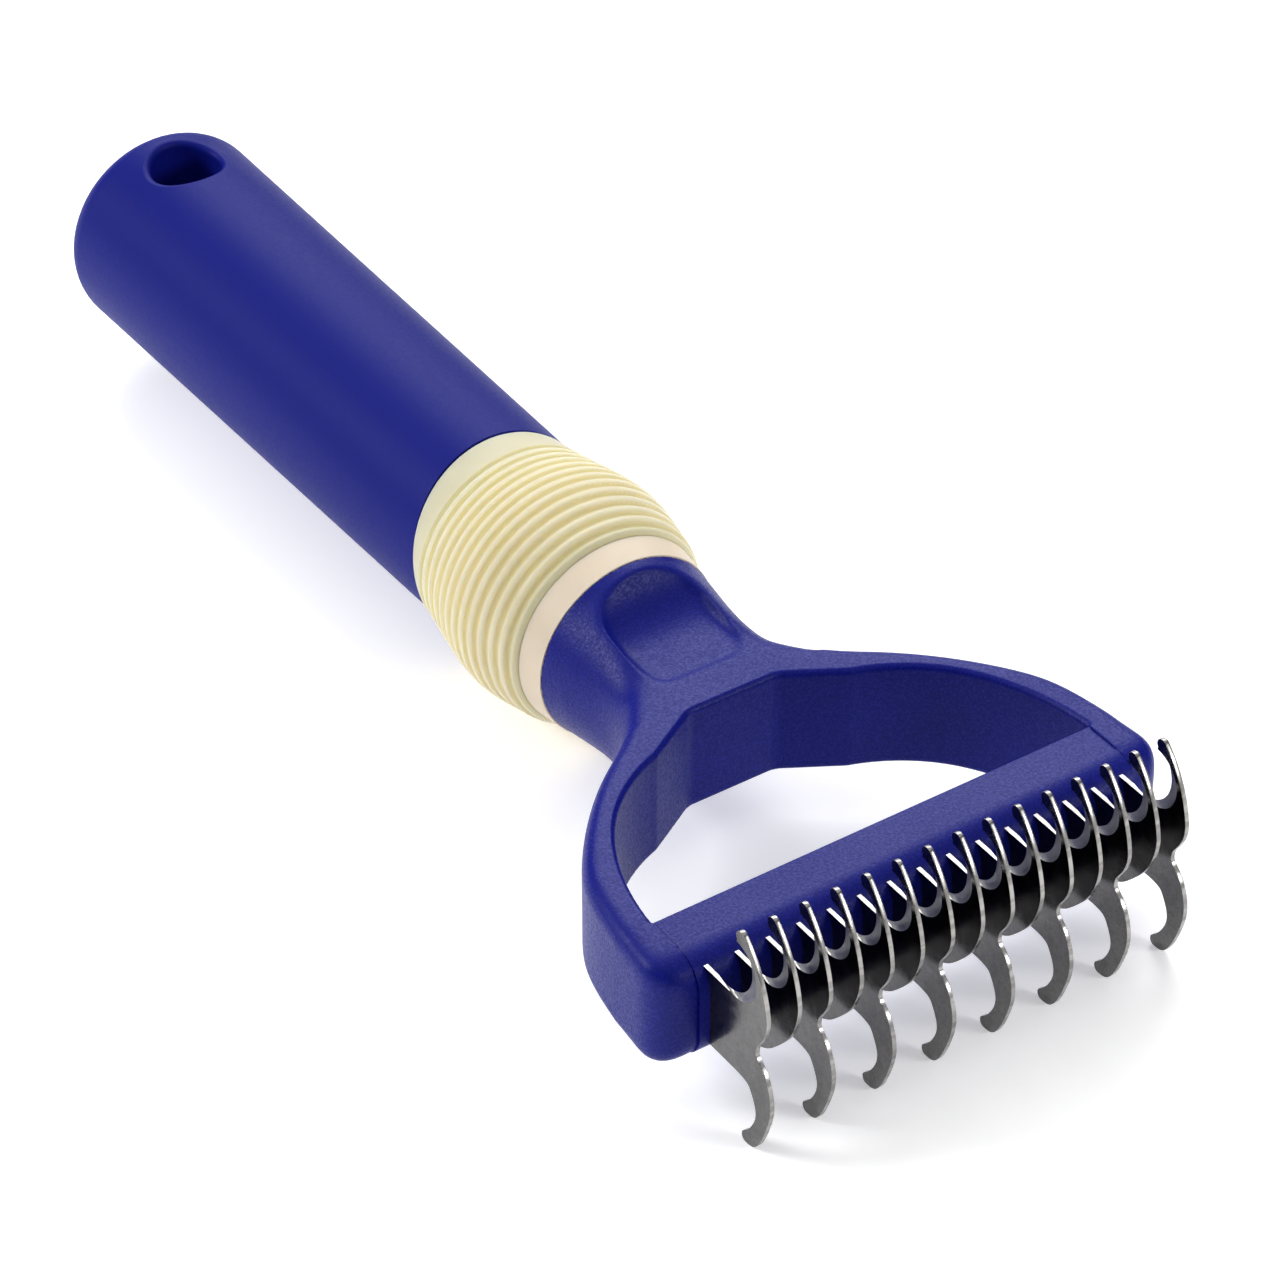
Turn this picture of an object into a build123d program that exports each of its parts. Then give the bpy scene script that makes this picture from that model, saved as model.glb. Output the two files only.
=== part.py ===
from build123d import *
import math
import os

os.makedirs("parts", exist_ok=True)

# Dematting comb: fifteen steel blades in a moulded bar, held between the cheeks of
# a D-shaped head, on a round handle with a ribbed grip ring.
# Working frame, in mm: the handle's axis is the Y axis and runs back to +Y, the
# blades point to -Y, X runs across the head and Z is up. Y = 0 lies inside the
# blade bar. Every piece is moved at the end so that the origin is at the middle
# of the underside of the whole comb.

# Blades
BLADE_COUNT = 15
BLADE_PITCH = 4.5
BLADE_THICKNESS = 0.6
ROOT_BACK = -1.0
ROOT_TOP = 6.6
ROOT_BOTTOM = -4.9
EDGE_CENTRE = (-10.3, 11.3)
EDGE_RADIUS = 5.0
BEVEL_CENTRE = (-12.7, 11.0)
BEVEL_RADIUS = 4.35

# Blade bar and the rod through the blade roots
BAR_FRONT = -7.7
BAR_BACK = 2.6
BAR_HALF_HEIGHT = 7.8
BAR_HALF_LENGTH = 33.2
BAR_FRONT_ROUNDING = 4.5
BAR_BACK_ROUNDING = 0.5
TENON_LENGTH = 3.0
TENON_WIDTH = 6.0
TENON_HEIGHT = 9.0
TENON_Y = -2.0
ROD_RADIUS = 1.25
ROD_Y = -3.6
ROD_Z = 0.8

# Head frame
HEAD_HALF_HEIGHT = 8.1
HEAD_HALF_WIDTH = 38.9
PLATE_TAIL = (8.0, 44.5)
CHEEK_FRONT = -7.4
CHEEK_ROUNDING = 4.6
CHEEK_CORNER = 4.6
OUTER_ROUNDING = 2.3
WINDOW_BACK = 32.9
WINDOW_BACK_HALF_WIDTH = 6.8
WINDOW_CHAMFER = 0.5
NECK_START = 33.4
NECK_END = 56.8
NECK_RADIUS = 13.7
TANG_RADIUS = 11.4
TANG_END = 90.0
TANG_CORE_RADIUS = 8.4
TANG_CORE_START = 64.0
PIN_RADIUS = 2.0
PIN_Y = 75.0

# Thumb rest in the top of the neck
THUMB_HALF_WIDTH = 7.6
THUMB_FRONT = 38.7
THUMB_BEND_Y = 46.0
THUMB_BACK = 55.0
THUMB_FLOOR = 7.6
THUMB_RIM = 13.2
THUMB_FRONT_CORNER = 3.2
THUMB_BACK_CORNER = 5.0
THUMB_FOOT_ROUNDING = 1.5

# Collar and grip ring
COLLAR_FRONT_RADIUS = 13.8
COLLAR_BACK_RADIUS = 14.35
COLLAR_END = 61.0
SLEEVE_RADIUS = 12.9
SLEEVE_END = 66.0
RING_PROFILE = [(14.45, COLLAR_END), (15.35, 62.2), (16.0, 64.7), (16.95, 70.4), (15.95, 79.2),
                (14.65, 87.0), (14.4, 92.0)]
RING_BACK_Y = 86.5
RING_BACK_TILT = 13.0
RING_BACK_ROUNDING = 0.6
GROOVE_COUNT = 12
GROOVE_PITCH = 1.98
GROOVE_FIRST_Y = 62.2
GROOVE_RADIUS = 0.6
GROOVE_DEPTH = 0.35

# Handle
SEAT_RADIUS = 13.4
SEAT_FRONT = 82.0
SEAT_BACK = 97.0
HANDLE_FRONT_RADIUS = 14.1
HANDLE_END = 182.2
HANDLE_END_RADIUS = 15.7
HANDLE_END_ROUNDING = 4.5
CAVITY_END = 163.0
HANG_Y = 171.4
HANG_RADIUS = 5.2
HANG_LIP = 0.8

# Longer than the head is wide; used for cutting blocks.
FAR = 100.0
# How near two places must be to count as the same one, when edges are picked.
NEAR = 0.01

ACROSS = Plane(origin=(0, 0, 0), x_dir=(0, 1, 0), z_dir=(1, 0, 0))
# A plane whose local x is Y and local y is Z, with its normal along +X.


def disc(radius, y_from, y_to):
    """A plain cylinder about the Y axis."""
    plane = Plane(origin=(0, y_from, 0), x_dir=(1, 0, 0), z_dir=(0, 1, 0))
    return extrude(plane * Circle(radius), y_to - y_from)


def horn():
    """Curves of the sharpened finger, from the root's top corner to the front."""
    return [
        Line((ROOT_BACK, ROOT_TOP), (-11.6, ROOT_TOP)),
        Line((-11.6, ROOT_TOP), (-12.95, 15.8)),
        ThreePointArc((-12.95, 15.8), (-13.1, 17.1), (-14.4, 16.95)),
        ThreePointArc((-14.4, 16.95), (-17.55, 12.6), (-19.2, 7.2)),
    ]


def short_outline():
    """Round belly, with no hook below it."""
    return horn() + [
        Spline((-19.2, 7.2), (-18.9, 4.6), (-17.7, 1.5), (-14.6, -2.5), (-11.6, -4.6),
               tangents=[(-0.05, -1), (1, -0.45)]),
        Line((-11.6, -4.6), (-10.5, ROOT_BOTTOM)),
        Line((-10.5, ROOT_BOTTOM), (ROOT_BACK, ROOT_BOTTOM)),
        Line((ROOT_BACK, ROOT_BOTTOM), (ROOT_BACK, ROOT_TOP)),
    ]


def long_outline():
    """A waist under the horn, then a hook that turns back towards the handle."""
    return horn() + [
        Spline((-19.2, 7.2), (-18.9, 4.9), (-17.7, 2.6), (-17.1, 1.0),
               tangents=[(-0.05, -1), (0.1, -1)]),
        Spline((-17.1, 1.0), (-18.2, -0.7), (-19.8, -3.2), (-20.3, -6.3), (-19.6, -9.6),
               (-18.4, -12.7), (-17.1, -14.5), (-15.2, -14.9),
               tangents=[(0.1, -1), (1, 0.05)]),
        ThreePointArc((-15.2, -14.9), (-14.6, -14.3), (-14.9, -13.4)),
        Spline((-14.9, -13.4), (-16.7, -11.1), (-17.3, -8.6), (-16.2, -6.0), (-13.4, ROOT_BOTTOM),
               tangents=[(-1, 0.8), (1, 0.05)]),
        Line((-13.4, ROOT_BOTTOM), (ROOT_BACK, ROOT_BOTTOM)),
        Line((ROOT_BACK, ROOT_BOTTOM), (ROOT_BACK, ROOT_TOP)),
    ]


def blade(curves):
    """Steel plate with its gullet ground to an edge on the +X face and a rod hole."""
    plate = extrude(make_face(curves), BLADE_THICKNESS / 2, both=True)
    half = BLADE_THICKNESS / 2
    edge = Pos(*EDGE_CENTRE, half) * Circle(EDGE_RADIUS)
    bevel = Pos(*BEVEL_CENTRE, -half) * Circle(BEVEL_RADIUS)
    gullet = loft([bevel, edge])
    rod_hole = Pos(ROD_Y, ROD_Z, 0) * Cylinder(ROD_RADIUS, 3 * BLADE_THICKNESS)
    return plate - gullet - rod_hole


def mirrored(points):
    """The left-hand half of an outline, from the right-hand points in reverse."""
    return [(-x, y) for x, y in reversed(points)]


def head_plate():
    """Flat D-shaped plate whose front wraps round in a rounded profile."""
    side = [PLATE_TAIL, (10.6, 40.8), (15.4, 35.0), (21.1, 30.4), (27.5, 24.7), (32.6, 18.6),
            (35.5, 13.8), (37.3, 7.5), (38.4, 0.0), (HEAD_HALF_WIDTH, CHEEK_FRONT)]
    right = Spline(*side, tangents=[(0.2, -1), (0.02, -1)])
    left = Spline(*mirrored(side), tangents=[(0.02, 1), (-0.2, 1)])
    front = Line(side[-1], mirrored(side)[0])
    back = Line(mirrored(side)[-1], side[0])
    outline = make_face([right, front, left, back])
    outline = fillet(outline.vertices().group_by(Axis.Y)[0], CHEEK_CORNER)
    plan = Pos(0, 0, -HEAD_HALF_HEIGHT) * extrude(outline, 2 * HEAD_HALF_HEIGHT)
    profile = make_face(
        Polyline((CHEEK_FRONT, -HEAD_HALF_HEIGHT), (FAR, -HEAD_HALF_HEIGHT),
                 (FAR, HEAD_HALF_HEIGHT), (CHEEK_FRONT, HEAD_HALF_HEIGHT), close=True))
    profile = fillet(profile.vertices().group_by(Axis.X)[0], CHEEK_ROUNDING)
    plate = plan & extrude(ACROSS * profile, FAR, both=True)
    flat_rim = [edge for edge in plate.edges() if abs((edge @ 0.5).Z) > HEAD_HALF_HEIGHT - NEAR]
    long_sides = [edge for edge in flat_rim
                  if abs((edge @ 0.5).X) > PLATE_TAIL[0] + NEAR and edge.length > HEAD_HALF_WIDTH]
    return fillet(long_sides, OUTER_ROUNDING)


def window_outline():
    """D-shaped window: flat at the back, straight to the shoulders, then curved arms."""
    shoulder = [(WINDOW_BACK_HALF_WIDTH, WINDOW_BACK), (15.0, 28.1)]
    arm = [(15.0, 28.1), (20.4, 25.6), (25.8, 21.1), (30.2, 14.1), (32.6, 6.6),
           (BAR_HALF_LENGTH, BAR_BACK)]
    return make_face([
        Line(mirrored(shoulder)[-1], shoulder[0]),
        Line(*shoulder),
        Spline(*arm),
        Line(arm[-1], mirrored(arm)[0]),
        Spline(*mirrored(arm)),
        Line(*mirrored(shoulder)),
    ])


def on_window_rim(edge):
    """Whether an edge of the plate lies on the window's upper or lower rim."""
    ends = (edge @ 0, edge @ 1)
    level = all(abs(abs(end.Z) - HEAD_HALF_HEIGHT) < NEAR for end in ends)
    within = all(abs(end.X) < BAR_HALF_LENGTH + NEAR for end in ends)
    along = all(BAR_BACK - NEAR < end.Y < WINDOW_BACK + NEAR for end in ends)
    return level and within and along


def pierced_plate():
    """Head plate with its window, chamfered all round, and the gap that takes the bar."""
    plate = head_plate() - extrude(window_outline(), 2 * HEAD_HALF_HEIGHT, both=True)
    plate = chamfer([edge for edge in plate.edges() if on_window_rim(edge)], WINDOW_CHAMFER)
    gap = Pos(0, BAR_BACK - FAR / 2, 0) * Box(2 * BAR_HALF_LENGTH, FAR, FAR)
    return plate - gap


def neck_section(y, half_width, half_height, squareness):
    """Closed superellipse across the neck: 2 is an ellipse, more is squarer."""
    points = []
    for step in range(16):
        angle = 2 * math.pi * step / 16
        c, s = math.cos(angle), math.sin(angle)
        x = half_width * math.copysign(abs(c) ** (2 / squareness), c)
        z = half_height * math.copysign(abs(s) ** (2 / squareness), s)
        points.append((x, y, z))
    return make_face(Spline(*points, periodic=True))


def neck():
    """Squarish where it leaves the plate, round where it meets the collar."""
    sections = [
        neck_section(NECK_START, 17.0, 7.8, 6.0),
        neck_section(36.2, 14.8, 7.8, 5.0),
        neck_section(40.0, 12.9, 8.2, 4.0),
        neck_section(45.0, 12.3, 10.2, 2.6),
        neck_section(51.0, 13.0, 12.7, 2.0),
        neck_section(NECK_END, NECK_RADIUS, NECK_RADIUS, 2.0),
    ]
    return loft(sections)


def thumb_rest():
    """Cutter: level at the front, curving up into a rounded wall at the back."""
    bend = (THUMB_BEND_Y, THUMB_FLOOR)
    rim = (THUMB_BACK, THUMB_RIM)
    front = (THUMB_FRONT, THUMB_FLOOR)
    above = 2 * NECK_RADIUS
    side = make_face([
        Line(front, bend),
        TangentArc(bend, rim, tangent=(1, 0)),
        Polyline(rim, (THUMB_BACK, above), (THUMB_FRONT, above), front),
    ])
    plan = Rectangle(2 * THUMB_HALF_WIDTH, THUMB_BACK - THUMB_FRONT)
    plan = fillet(plan.vertices().group_by(Axis.Y)[0], THUMB_FRONT_CORNER)
    plan = fillet(plan.vertices().group_by(Axis.Y)[-1], THUMB_BACK_CORNER)
    plan = Pos(0, (THUMB_FRONT + THUMB_BACK) / 2) * plan
    scoop = extrude(ACROSS * side, THUMB_HALF_WIDTH, both=True) & extrude(plan, above)
    low = [edge for edge in scoop.edges() if max((edge @ 0).Z, (edge @ 1).Z) <= THUMB_RIM]
    foot = [edge for edge in low if (edge @ 0.5 - Vector(0, *bend)).length > NEAR]
    return fillet(foot, THUMB_FOOT_ROUNDING)


def tenons():
    """Rectangular stubs that carry the bar in the cheeks, one at each end."""
    span = 2 * (BAR_HALF_LENGTH + TENON_LENGTH)
    return Pos(0, TENON_Y, 0) * Box(span, TENON_WIDTH, TENON_HEIGHT)


def head_frame():
    """Plate, neck and cored tang in one moulding, with the thumb rest cut in the top."""
    frame = pierced_plate() + neck() - thumb_rest()
    frame += disc(TANG_RADIUS, NECK_END, TANG_END)
    frame -= disc(TANG_CORE_RADIUS, TANG_CORE_START, TANG_END)
    return frame - tenons() - pin_hole()


def pin_hole():
    """Cutter through the tang and the spigot, across the handle's axis."""
    return Pos(0, PIN_Y, 0) * Rot(0, 90, 0) * Cylinder(PIN_RADIUS, FAR)


def tang_pin():
    """Cross pin through the handle's spigot and the tang, hidden under the ring."""
    return pin_hole() & disc(SLEEVE_RADIUS, SLEEVE_END, SEAT_FRONT)


def collar():
    """Bush with a slightly flared flange, between the neck and the handle's spigot."""
    section = make_face(
        Polyline((0, NECK_END), (COLLAR_FRONT_RADIUS, NECK_END),
                 (COLLAR_BACK_RADIUS, COLLAR_END), (0, COLLAR_END), close=True))
    flange = revolve(section, Axis.Y, 360)
    sleeve = disc(SLEEVE_RADIUS, COLLAR_END, SLEEVE_END)
    return flange + sleeve - disc(TANG_RADIUS, NECK_END, SLEEVE_END)


def leaning_cut():
    """Everything behind the leaning plane where the ring meets the handle."""
    lean = Pos(0, RING_BACK_Y, 0) * Rot(-RING_BACK_TILT, 0, 0)
    return lean * Pos(0, FAR / 2, 0) * Box(FAR, FAR, FAR)


def ring_section():
    """Half section of the ring: a quick rise behind its lip, a long taper, round grooves."""
    crown = Spline(*RING_PROFILE)
    inside = Polyline(crown @ 1, (SLEEVE_RADIUS, RING_PROFILE[-1][1]),
                      (SLEEVE_RADIUS, COLLAR_END), crown @ 0)
    section = make_face([crown, inside])
    for index in range(GROOVE_COUNT):
        y = GROOVE_FIRST_Y + index * GROOVE_PITCH
        surface = crown.intersect(Line((0, y), (FAR, y)))[0]
        section -= Pos(surface.X + GROOVE_RADIUS - GROOVE_DEPTH, y) * Circle(GROOVE_RADIUS)
    return section


def grip_ring():
    """Ribbed sleeve over the handle's seat, with a leaning, slightly rounded back edge."""
    ring = revolve(ring_section(), Axis.Y, 360) - leaning_cut()
    back = ring.faces().filter_by(GeomType.PLANE).sort_by(Axis.Y)[-1]
    ring = fillet(back.outer_wire().edges(), RING_BACK_ROUNDING)
    return ring - disc(SEAT_RADIUS, SEAT_FRONT, SEAT_BACK)


def handle():
    """Round flared shell with a spigot and ring seat in front and a solid, drilled end."""
    body = make_face(
        Polyline((0, SLEEVE_END), (HANDLE_FRONT_RADIUS, SLEEVE_END),
                 (HANDLE_END_RADIUS, HANDLE_END), (0, HANDLE_END), close=True))
    rim = body.vertices().sort_by(lambda v: v.X + v.Y)[-1]
    body = revolve(fillet(rim, HANDLE_END_ROUNDING), Axis.Y, 360)
    room = disc(2 * HANDLE_END_RADIUS, SLEEVE_END, SEAT_BACK) - leaning_cut()
    spigot = disc(SLEEVE_RADIUS, SLEEVE_END, SEAT_FRONT)
    seat = disc(SEAT_RADIUS, SEAT_FRONT, SEAT_BACK)
    body -= room - spigot - seat
    body -= disc(TANG_RADIUS, SLEEVE_END, CAVITY_END)
    body -= pin_hole()
    return hang_hole(body)


def hang_hole(body):
    """Upright hole through the solid end, with a rounded lip above and below."""
    body -= Pos(0, HANG_Y, 0) * Cylinder(HANG_RADIUS, FAR)
    lip = [edge for edge in body.edges()
           if abs((edge @ 0.5).Y - HANG_Y) < HANG_RADIUS + NEAR and edge.geom_type == GeomType.BSPLINE]
    return fillet(lip, HANG_LIP)


def blade_bar(all_blades, rod):
    """Moulded bar with rounded front edges, moulded round the blade roots and rod."""
    section = make_face(
        Polyline((BAR_FRONT, -BAR_HALF_HEIGHT), (BAR_BACK, -BAR_HALF_HEIGHT),
                 (BAR_BACK, BAR_HALF_HEIGHT), (BAR_FRONT, BAR_HALF_HEIGHT), close=True))
    section = fillet(section.vertices().group_by(Axis.X)[0], BAR_FRONT_ROUNDING)
    section = fillet(section.vertices().group_by(Axis.X)[-1], BAR_BACK_ROUNDING)
    bar = extrude(ACROSS * section, BAR_HALF_LENGTH, both=True) + tenons()
    return bar - all_blades - rod


def blade_rod():
    """Steel rod that threads every blade root inside the bar."""
    length = BLADE_PITCH * (BLADE_COUNT - 1) + 2 * BLADE_THICKNESS
    return Pos(0, ROD_Y, ROD_Z) * Rot(0, 90, 0) * Cylinder(ROD_RADIUS, length)


nodes = {}
long_blade = blade(long_outline())
short_blade = blade(short_outline())
for index in range(BLADE_COUNT):
    is_long = index % 2 == 0
    number = index // 2 + 1
    name = f"rake_blade_{number}" if is_long else f"short_blade_{number}"
    place = Pos((index - BLADE_COUNT // 2) * BLADE_PITCH, 0, 0) * ACROSS.location
    nodes[name] = place * (long_blade if is_long else short_blade)
rod = blade_rod()
nodes["blade_bar"] = blade_bar(list(nodes.values()), rod)
nodes["blade_rod"] = rod
nodes["head_frame"] = head_frame()
nodes["collar"] = collar()
nodes["grip_ring"] = grip_ring()
nodes["handle"] = handle()
nodes["tang_pin"] = tang_pin()

boxes = [piece.bounding_box() for piece in nodes.values()]
front = min(box.min.Y for box in boxes)
back = max(box.max.Y for box in boxes)
bottom = min(box.min.Z for box in boxes)
to_origin = Pos(0, -(front + back) / 2, -bottom)
for name, piece in nodes.items():
    export_step(to_origin * piece, f"parts/{name}.step")
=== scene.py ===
"""Looks of the dematting comb: materials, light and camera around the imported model."""

import math

import bpy
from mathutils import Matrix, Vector


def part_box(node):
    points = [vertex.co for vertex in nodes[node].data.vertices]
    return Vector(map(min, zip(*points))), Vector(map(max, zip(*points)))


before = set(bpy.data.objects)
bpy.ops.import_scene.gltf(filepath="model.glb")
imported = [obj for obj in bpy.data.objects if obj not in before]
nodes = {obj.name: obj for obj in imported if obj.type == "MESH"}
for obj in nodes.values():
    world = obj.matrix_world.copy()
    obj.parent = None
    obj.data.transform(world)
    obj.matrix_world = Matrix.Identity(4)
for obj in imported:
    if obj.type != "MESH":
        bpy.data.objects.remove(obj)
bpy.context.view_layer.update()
scene = bpy.context.scene

# The view: its angles in degrees, its lens and its place in metres.
AZIMUTH = -34.19
ELEVATION = 37.90
LENS_MM = 131.73
SENSOR_MM = 36.0
CAMERA_PLACE = (-0.27104, -0.42595, 0.39536)
CLIP_START = 0.01
CLIP_END = 20

# The floor's side, and the world's own light.
FLOOR_SIDE = 6
WORLD_STRENGTH = 0.12

# Soft boxes and the point they all aim at: name, place, width and depth in metres, power in watts.
AIM = (0, 0, 0)
SOFT_BOXES = (
    ("overhead_box", (0.0, 0.15, 1.1), 1.8, 1.8, 7.5),
    ("back_box", (0.72, 1.05, 1.0), 1.3, 1.1, 20),
    ("left_box", (-0.86, 0.60, 0.66), 0.4, 0.4, 9.0),
    ("front_box", (0.55, -1.0, 0.50), 0.4, 0.3, 5.5),
)

MM = 0.001

# Where the comb touches the floor: behind a long hook's front, and behind the ring's front.
HOOK_CONTACT = 3.5 * MM
RING_CONTACT = 9.4 * MM

# Grooves of the grip ring, measured back from its front lip; they place the ring's painted groove
# light and lip shade.
GROOVE_FIRST = 1.2 * MM
GROOVE_PITCH = 1.98 * MM
GROOVE_LAST = 23.25 * MM
GROOVE_FADE = (0.2 * MM, 0.8 * MM)
LIP_FADE = (0.1 * MM, 0.5 * MM)

# Where the neck flows into the plate, measured back from the head's front, and the
# half-width of the thumb rest.
BLEND_START = (41.2 * MM, 43.6 * MM)
BLEND_END = (60.0 * MM, 63.4 * MM)
FLARE_END = (54.0 * MM, 60.0 * MM)
THUMB_HALF_WIDTH = (7.9 * MM, 9.6 * MM)

# The cheeks, rounded more than the rest: back from the head's front, and out from its middle.
CHEEK_END = (6.0 * MM, 11.0 * MM)
CHEEK_SIDE = (33.2 * MM, 33.9 * MM)

# How often each region of the head is relaxed.
NECK_PASSES = 26
FLARE_PASSES = 110
CHEEK_PASSES = 50

# Mesh finish: the head's even mesh, and the blades' broken edges.
HEAD_VOXEL = 0.22 * MM
HEAD_PASSES = 2
SMOOTH_FACTOR = 0.5
WELD_GAP = 0.002 * MM
EDGE_BREAK = 0.05 * MM
EDGE_SEGMENTS = 2
EDGE_ANGLE = 50

# The band that most of a noise texture's values lie in.
MIDDLE = (0.3, 0.7)

# A blade's surfaces, told apart by how far its normal points across the comb.
FLAT_FACE = (0.985, 0.998)
SHEARED_EDGE = (0.25, 0.45)


def make_camera():
    """A long lens, seen from the front left and above."""
    data = bpy.data.cameras.new("camera")
    data.lens = LENS_MM
    data.sensor_width = SENSOR_MM
    data.clip_start = CLIP_START
    data.clip_end = CLIP_END
    camera = bpy.data.objects.new("camera", data)
    camera.location = CAMERA_PLACE
    camera.rotation_euler = (math.radians(90 - ELEVATION), 0, math.radians(AZIMUTH))
    scene.collection.objects.link(camera)
    scene.camera = camera


# ---------------------------------------------------------------- node helpers

class Material:
    """A node material with short calls for adding nodes and linking them."""

    def __init__(self, name, **uniform):
        self.data = bpy.data.materials.new(name)
        self.data.use_nodes = True
        self.tree = self.data.node_tree
        self.shader = self.tree.nodes["Principled BSDF"]
        for socket, value in uniform.items():
            self.shader.inputs[socket.replace("_", " ")].default_value = value
        self.place = self.add("ShaderNodeTexCoord")

    def add(self, kind, settings=None, **inputs):
        node = self.tree.nodes.new(kind)
        for name, value in (settings or {}).items():
            setattr(node, name, value)
        for name, value in inputs.items():
            self.feed(node, name.replace("_", " "), value)
        return node

    def feed(self, node, name, value):
        """Sets or links one input, found by its name or, for names such as i0, by its index."""
        by_index = name[0] == "i" and name[1:].isdigit()
        socket = node.inputs[int(name[1:]) if by_index else name]
        if isinstance(value, bpy.types.NodeSocket):
            self.tree.links.new(value, socket)
        else:
            socket.default_value = value

    def noise(self, scale, detail=2.0, roughness=0.5, stretch=None):
        """Noise in object space: scale in features per metre, stretch a factor per axis."""
        vector = self.place.outputs["Object"]
        if stretch:
            vector = self.add("ShaderNodeMapping", Vector=vector, Scale=stretch).outputs[0]
        return self.add("ShaderNodeTexNoise", Vector=vector, Scale=scale, Detail=detail,
                        Roughness=roughness).outputs[0]

    def math(self, operation, first, second=0.0):
        return self.add("ShaderNodeMath", {"operation": operation}, i0=first, i1=second).outputs[0]

    def span(self, value, low, high, to_low=0.0, to_high=1.0):
        """Maps low..high smoothly to to_low..to_high."""
        return self.add("ShaderNodeMapRange", {"interpolation_type": "SMOOTHSTEP"}, Value=value,
                        From_Min=low, From_Max=high, To_Min=to_low, To_Max=to_high).outputs[0]

    def mix(self, factor, first, second):
        node = self.add("ShaderNodeMix", {"data_type": "RGBA"})
        for index, value in ((0, factor), (6, first), (7, second)):
            if isinstance(value, bpy.types.NodeSocket):
                self.tree.links.new(value, node.inputs[index])
            elif index:
                node.inputs[index].default_value = (*value, 1)
            else:
                node.inputs[index].default_value = value
        return node.outputs[2]

    def surface(self, **links):
        for name, value in links.items():
            self.tree.links.new(value, self.shader.inputs[name.replace("_", " ")])

    def bump(self, height, strength, distance, normal=None):
        node = self.add("ShaderNodeBump", Height=height, Strength=strength, Distance=distance)
        if normal is not None:
            self.tree.links.new(normal, node.inputs["Normal"])
        return node.outputs[0]


# ---------------------------------------------------------------- materials

def head_plastic():
    """Satin moulded plastic from a spark-eroded mould: a fine speckle all over."""
    m = Material("head_plastic", Specular_IOR_Level=0.16)
    speckle = m.noise(2900, 2.0, 0.7)
    grain = m.noise(1700, 2.0, 0.6)
    cloud = m.noise(55, 2.0)
    base = m.mix(m.span(speckle, 0.40, 0.72), (0.0004, 0.0035, 0.155), (0.007, 0.011, 0.232))
    base = m.mix(m.span(cloud, *MIDDLE, 0.0, 0.25), base, (0.001, 0.0055, 0.160))
    rough = m.math("ADD", m.span(speckle, *MIDDLE, 0.50, 0.30),
                   m.span(cloud, *MIDDLE, 0.0, 0.05))
    relief = m.bump(grain, 0.20, 0.00008)
    m.surface(Base_Color=base, Roughness=rough, Normal=m.bump(speckle, 0.55, 0.00008, relief))
    return m.data


def handle_plastic():
    """The same blue, from a smoother mould."""
    m = Material("handle_plastic", Specular_IOR_Level=0.10)
    grain = m.noise(2200, 2.0, 0.6)
    cloud = m.noise(28, 3.0, stretch=(1.0, 0.35, 1.0))
    base = m.mix(m.span(cloud, *MIDDLE), (0.002, 0.006, 0.165), (0.004, 0.008, 0.180))
    rough = m.math("ADD", m.span(grain, *MIDDLE, 0.44, 0.52),
                   m.span(cloud, *MIDDLE, 0.0, 0.05))
    m.surface(Base_Color=base, Roughness=rough, Normal=m.bump(grain, 0.12, 0.00006))
    return m.data


def ring_rubber():
    """Cream soft rubber that glows a little; the grooves get painted bounce light and the front lip
    painted shade, both a deeper yellow.
    """
    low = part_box("grip_ring")[0]
    m = Material("ring_rubber", Specular_IOR_Level=0.25, Subsurface_Weight=0.8,
                 Subsurface_Scale=0.006, Subsurface_Radius=(1.0, 0.8, 0.4),
                 Sheen_Weight=0.05, Sheen_Roughness=0.4)
    # Painted light and shade: the grooves are painted a deeper yellow, standing in for light
    # bouncing in the hollows, and the front lip the same, standing in for the shade on its front
    # face.
    axis = m.add("ShaderNodeSeparateXYZ", Vector=m.place.outputs["Object"]).outputs["Y"]
    back = m.math("SUBTRACT", axis, low.y)
    turn = m.math("DIVIDE", m.math("SUBTRACT", back, GROOVE_FIRST), GROOVE_PITCH)
    phase = m.math("FRACT", m.math("ADD", turn, 0.5))
    off = m.math("ABSOLUTE", m.math("SUBTRACT", phase, 0.5))
    groove_painted_light = m.span(off, 0.10, 0.42, 1.0, 0.0)
    ribbed = m.span(back, GROOVE_LAST + GROOVE_FADE[0], GROOVE_LAST + GROOVE_FADE[1], 1.0, 0.0)
    groove_painted_light = m.math("MULTIPLY", groove_painted_light, ribbed)
    lip_painted_shade = m.span(back, *LIP_FADE, 1.0, 0.0)
    deep = m.math("MAXIMUM", groove_painted_light, lip_painted_shade)
    blotch = m.noise(120, 3.0)
    ridge = m.mix(m.span(blotch, *MIDDLE), (0.645, 0.58, 0.41), (0.615, 0.55, 0.38))
    base = m.mix(m.math("MULTIPLY", deep, 0.5), ridge, (0.74, 0.64, 0.30))
    grain = m.noise(1400, 3.0, 0.6)
    rough = m.span(grain, *MIDDLE, 0.48, 0.62)
    m.surface(Base_Color=base, Roughness=rough, Normal=m.bump(grain, 0.18, 0.0001))
    return m.data


def collar_plastic():
    """Ivory hard plastic with a slight gloss."""
    m = Material("collar_plastic", Specular_IOR_Level=0.3, Subsurface_Weight=0.3,
                 Subsurface_Scale=0.002, Subsurface_Radius=(1.0, 0.6, 0.4))
    cloud = m.noise(90, 2.0)
    base = m.mix(m.span(cloud, *MIDDLE), (0.69, 0.585, 0.46), (0.65, 0.55, 0.425))
    grain = m.noise(1800, 2.0)
    m.surface(Base_Color=base, Roughness=m.span(grain, *MIDDLE, 0.44, 0.54),
              Normal=m.bump(grain, 0.06, 0.00005))
    return m.data


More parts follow.
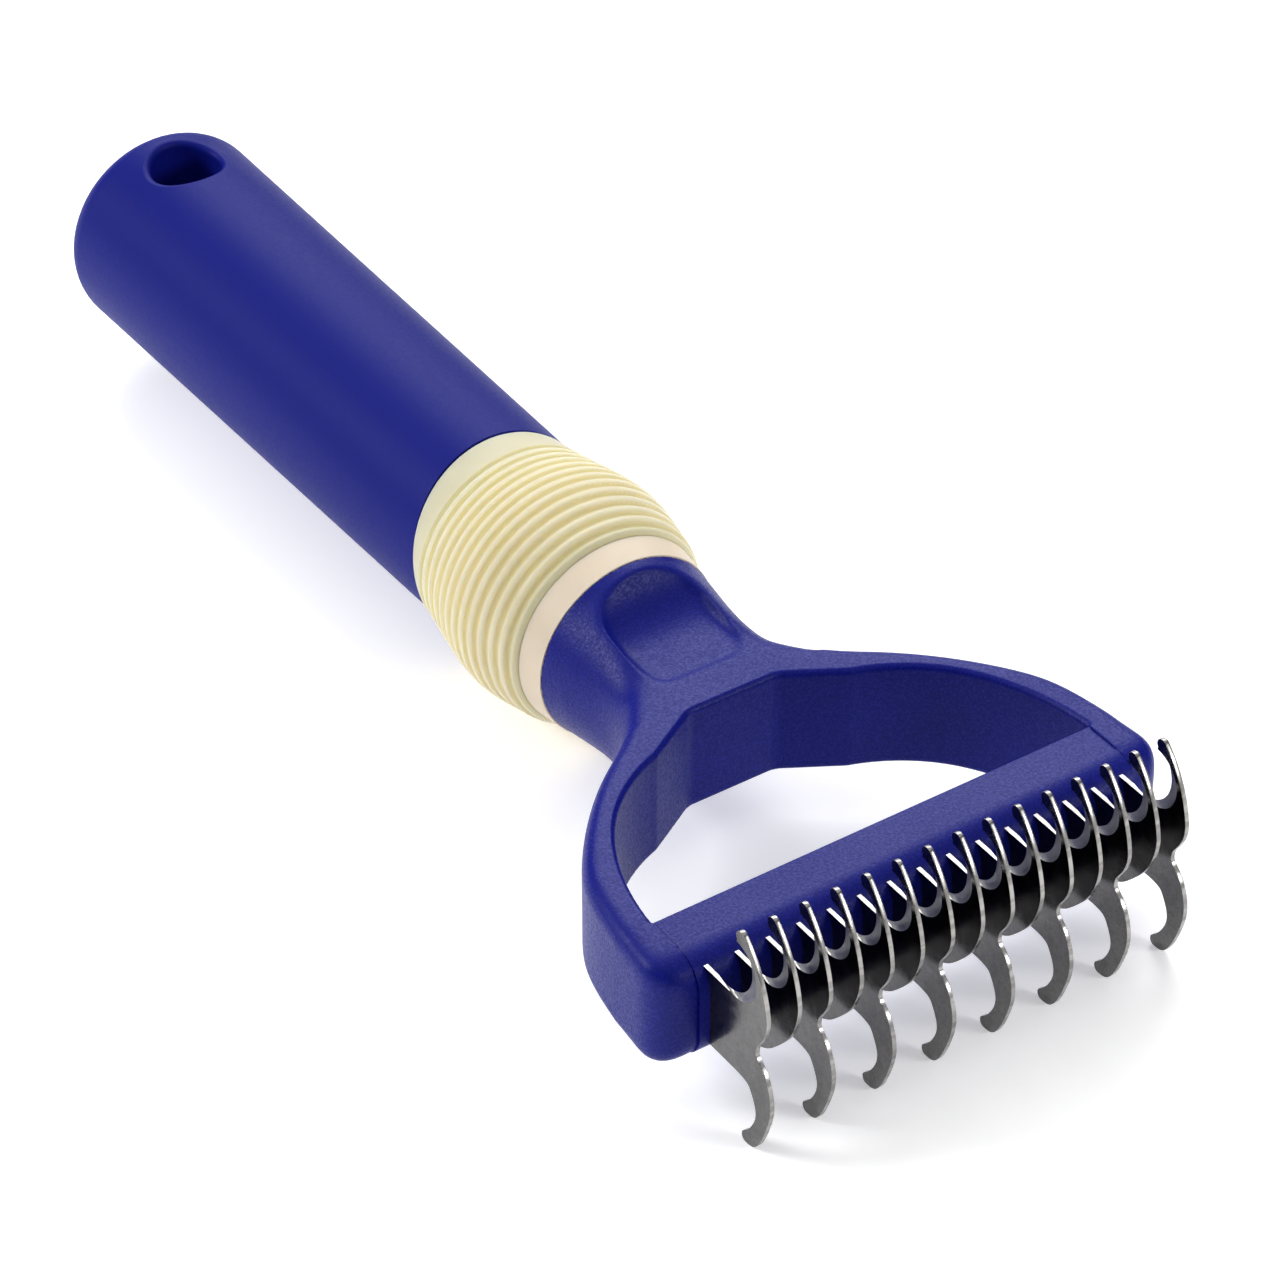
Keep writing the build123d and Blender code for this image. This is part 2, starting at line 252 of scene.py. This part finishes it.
def blade_steel():
    """Tumbled stainless sheet with satin faces, a ground bevel and sheared edges; the faces carry
    painted shade from what they reflect, the bevel and edges painted highlights.
    """
    m = Material("blade_steel", Metallic=1.0)
    facing = m.add("ShaderNodeSeparateXYZ", Vector=m.place.outputs["Normal"]).outputs["X"]
    facing = m.math("ABSOLUTE", facing)
    flat = m.span(facing, *FLAT_FACE)
    edge = m.span(facing, *SHEARED_EDGE, 1.0, 0.0)
    tumble = m.noise(700, 4.0, 0.65)
    pits = m.noise(2600, 2.0, 0.6)
    scratch = m.noise(160, 5.0, 0.7, stretch=(1.0, 1.0, 14.0))
    shear = m.noise(420, 2.0, 0.5, stretch=(0.15, 2.0, 2.0))
    ground = m.noise(260, 3.0, 0.6, stretch=(30.0, 1.0, 1.0))
    # Painted reflections: the flat faces are painted dark, standing in for the shade they reflect;
    # the bevel and the sheared edges are painted light, as painted highlights. The pits and
    # scratches are real marks.
    painted_dark_face = m.mix(m.span(tumble, *MIDDLE), (0.112, 0.109, 0.106), (0.148, 0.145, 0.141))
    painted_dark_face = m.mix(m.span(pits, 0.45, 0.70, 0.0, 0.5), painted_dark_face, (0.073, 0.071, 0.069))
    painted_dark_face = m.mix(m.span(scratch, 0.58, 0.72, 0.0, 0.35), painted_dark_face, (0.24, 0.236, 0.23))
    bevel = m.mix(m.span(ground, *MIDDLE), (0.50, 0.50, 0.50), (0.62, 0.62, 0.62))
    painted_edge_highlight = m.mix(m.span(shear, 0.35, 0.65), (0.24, 0.233, 0.225), (0.38, 0.37, 0.355))
    base = m.mix(edge, m.mix(flat, bevel, painted_dark_face), painted_edge_highlight)
    smooth = m.math("ADD", m.span(tumble, *MIDDLE, 0.13, 0.20),
                    m.span(facing, *FLAT_FACE, 0.16, 0.0))
    rough = m.add("ShaderNodeMix", {"data_type": "FLOAT"})
    m.tree.links.new(edge, rough.inputs[0])
    m.tree.links.new(smooth, rough.inputs[2])
    m.tree.links.new(m.span(shear, *MIDDLE, 0.32, 0.22), rough.inputs[3])
    relief = m.bump(tumble, 0.05, 0.00006)
    m.surface(Base_Color=base, Roughness=rough.outputs[0],
              Normal=m.bump(shear, 0.08, 0.00005, relief))
    return m.data


def rod_steel():
    """Drawn steel wire with a fine lengthwise grain."""
    m = Material("rod_steel", Metallic=1.0)
    grain = m.noise(300, 4.0, 0.6, stretch=(0.2, 6.0, 6.0))
    base = m.mix(m.span(grain, *MIDDLE), (0.42, 0.41, 0.40), (0.58, 0.57, 0.55))
    m.surface(Base_Color=base, Roughness=m.span(grain, *MIDDLE, 0.22, 0.36))
    return m.data


def floor_white():
    """Matt white sweep with a faint paper tooth."""
    m = Material("floor_white", Specular_IOR_Level=0.1, Roughness=0.8,
                 Emission_Color=(1, 1, 1, 1), Emission_Strength=0.39)
    tooth = m.noise(40, 3.0)
    base = m.mix(m.span(tooth, *MIDDLE), (0.90, 0.90, 0.905), (0.92, 0.92, 0.925))
    m.surface(Base_Color=base)
    return m.data


# ---------------------------------------------------------------- set

def make_floor():
    """The comb rests on its long hooks and on the ring's crown, so the floor leans a little."""
    hook_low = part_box("rake_blade_1")[0]
    ring_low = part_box("grip_ring")[0]
    hook_y = hook_low.y + HOOK_CONTACT
    ring_y = ring_low.y + RING_CONTACT
    lean = math.atan2(ring_low.z - hook_low.z, ring_y - hook_y)
    bpy.ops.mesh.primitive_plane_add(size=FLOOR_SIDE)
    floor = bpy.context.object
    floor.name = "floor"
    floor.location = (0, hook_y, hook_low.z)
    floor.rotation_euler = (lean, 0, 0)
    floor.data.materials.append(floor_white())


def make_light():
    """Soft boxes in a pale room: a large one overhead, two behind and a small one in front."""
    world = bpy.data.worlds.new("studio")
    scene.world = world
    world.use_nodes = True
    background = world.node_tree.nodes["Background"]
    background.inputs["Color"].default_value = (1, 1, 1, 1)
    background.inputs["Strength"].default_value = WORLD_STRENGTH
    for name, place, wide, deep, power in SOFT_BOXES:
        data = bpy.data.lights.new(name, "AREA")
        data.shape = "RECTANGLE"
        data.size = wide
        data.size_y = deep
        data.energy = power
        lamp = bpy.data.objects.new(name, data)
        lamp.location = place
        lamp.rotation_euler = (Vector(AIM) - Vector(place)).to_track_quat("-Z", "Y").to_euler()
        scene.collection.objects.link(lamp)


# ---------------------------------------------------------------- mesh finish

def soften(node):
    """Rounds every edge a little, as a moulded edge is."""
    remesh = node.modifiers.new("even_mesh", "REMESH")
    remesh.mode = "VOXEL"
    remesh.voxel_size = HEAD_VOXEL
    remesh.use_smooth_shade = True
    smooth = node.modifiers.new("soft_edges", "SMOOTH")
    smooth.factor = SMOOTH_FACTOR
    smooth.iterations = HEAD_PASSES


def wire(tree, kind, *values):
    """Adds a node to a geometry tree, feeds its inputs in order and returns it."""
    node = tree.nodes.new(kind)
    for socket, value in zip(node.inputs, values):
        if isinstance(value, bpy.types.NodeSocket):
            tree.links.new(value, socket)
        else:
            socket.default_value = value
    return node


def ramp(tree, value, span, rising=True):
    """A smooth step over the span: from 0 up to 1 when rising, else from 1 down to 0."""
    ends = (0.0, 1.0) if rising else (1.0, 0.0)
    node = wire(tree, "ShaderNodeMapRange", value, *span, *ends)
    node.interpolation_type = "SMOOTHSTEP"
    return node.outputs[0]


def product(tree, first, second):
    """Multiplies two values."""
    node = wire(tree, "ShaderNodeMath", first, second)
    node.operation = "MULTIPLY"
    return node.outputs[0]


def relaxed(tree, position, weight, passes):
    """Moves each point towards its neighbours' mean, by its weight, once per pass."""
    node = wire(tree, "GeometryNodeBlurAttribute")
    node.data_type = "FLOAT_VECTOR"
    tree.links.new(position, node.inputs["Value"])
    tree.links.new(weight, node.inputs["Weight"])
    node.inputs["Iterations"].default_value = passes
    return node.outputs[0]


def blend_neck(node):
    """Lets the neck flow into the plate, keeps the thumb rest's rim crisper, softens the cheeks."""
    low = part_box("head_frame")[0]
    tree = bpy.data.node_groups.new("blend_neck", "GeometryNodeTree")
    tree.interface.new_socket("Geometry", in_out="INPUT", socket_type="NodeSocketGeometry")
    tree.interface.new_socket("Geometry", in_out="OUTPUT", socket_type="NodeSocketGeometry")
    skin = tree.nodes.new("NodeGroupInput").outputs[0]
    place = tree.nodes.new("GeometryNodeInputPosition").outputs[0]
    axes = wire(tree, "ShaderNodeSeparateXYZ", place).outputs
    back = wire(tree, "ShaderNodeMath", axes["Y"], low.y)
    back.operation = "SUBTRACT"
    back = back.outputs[0]
    aside = wire(tree, "ShaderNodeMath", axes["X"])
    aside.operation = "ABSOLUTE"
    aside = aside.outputs[0]
    start = ramp(tree, back, BLEND_START)
    whole = product(tree, start, ramp(tree, back, BLEND_END, rising=False))
    flare = product(tree, start, ramp(tree, back, FLARE_END, rising=False))
    flare = product(tree, flare, ramp(tree, aside, THUMB_HALF_WIDTH))
    cheek = ramp(tree, back, CHEEK_END, rising=False)
    cheek = product(tree, cheek, ramp(tree, aside, CHEEK_SIDE))
    soft = relaxed(tree, place, whole, NECK_PASSES)
    soft = relaxed(tree, soft, flare, FLARE_PASSES)
    soft = relaxed(tree, soft, cheek, CHEEK_PASSES)
    moved = wire(tree, "GeometryNodeSetPosition", skin)
    tree.links.new(soft, moved.inputs["Position"])
    tree.links.new(moved.outputs[0], tree.nodes.new("NodeGroupOutput").inputs[0])
    node.modifiers.new("blend_neck", "NODES").node_group = tree


def weld(node):
    """Joins doubled vertices, which drops triangles without any area."""
    modifier = node.modifiers.new("one_skin", "WELD")
    modifier.merge_threshold = WELD_GAP


def break_edges(node):
    """A tiny bevel, so the sheared edges catch the light."""
    bevel = node.modifiers.new("edge_break", "BEVEL")
    bevel.width = EDGE_BREAK
    bevel.segments = EDGE_SEGMENTS
    bevel.limit_method = "ANGLE"
    bevel.angle_limit = math.radians(EDGE_ANGLE)
    bevel.harden_normals = False


def dress():
    """Gives every piece its material, then finishes the blades', the ring's and the head's mesh."""
    head = head_plastic()
    steel = blade_steel()
    rod = rod_steel()
    by_node = {"head_frame": head, "blade_bar": head, "handle": handle_plastic(),
               "grip_ring": ring_rubber(), "collar": collar_plastic(),
               "blade_rod": rod, "tang_pin": rod}
    for name, node in nodes.items():
        node.data.materials.clear()
        node.data.materials.append(by_node.get(name, steel))
        if name not in by_node:
            weld(node)
            break_edges(node)
    weld(nodes["grip_ring"])
    soften(nodes["head_frame"])
    blend_neck(nodes["head_frame"])


scene.view_settings.view_transform = "Standard"
make_camera()
make_floor()
make_light()
dress()
